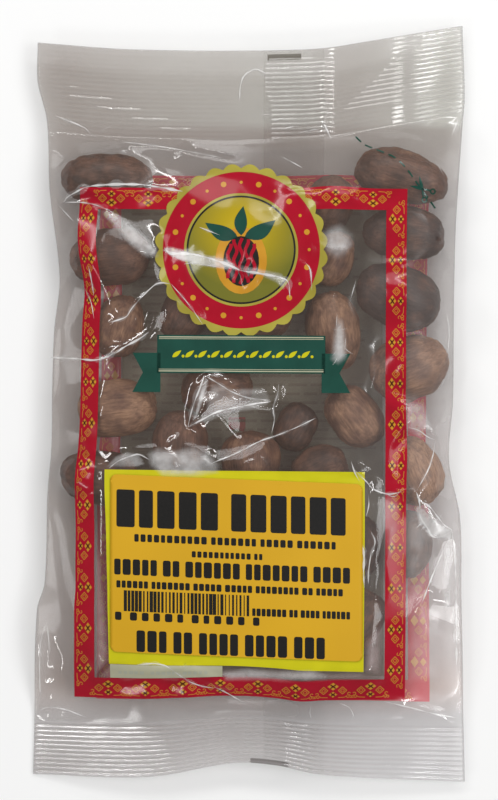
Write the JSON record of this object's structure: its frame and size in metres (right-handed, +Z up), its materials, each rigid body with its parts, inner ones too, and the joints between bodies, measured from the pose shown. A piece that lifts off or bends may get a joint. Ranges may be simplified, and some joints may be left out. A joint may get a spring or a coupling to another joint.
{
  "type": "film pack of whole nutmegs",
  "caption": "Sealed clear film pack of whole nutmegs with ribbed end seals, a printed border and a paper sticker, lying on its back.",
  "frame": {"origin": "middle of the pack's own box, on the surface that it lies on", "axes": "+X to the pack's right, +Y to its top seal, +Z up through its printed front"},
  "size_m": [0.1222, 0.2136, 0.0195],
  "materials": {
    "film": "clear glossy polypropylene film, lightly hazed and creased",
    "nutmeg": "dry furrowed nutmeg seed, matt with a faint sheen",
    "red_ink": "opaque red flexographic ink under gloss film",
    "gold_ink": "opaque golden yellow ink under gloss film",
    "lime_ink": "opaque lime green ink under gloss film",
    "green_ink": "opaque dark green ink under gloss film",
    "dark_ink": "opaque black ink under gloss film",
    "cream_ink": "opaque cream ink under gloss film",
    "label_paper": "semi-gloss yellow sticker paper",
    "label_print": "black thermal print on the sticker"
  },
  "bodies": {
    "root": {"pack": "film", "label": "label_paper"}
  },
  "joints": []
}
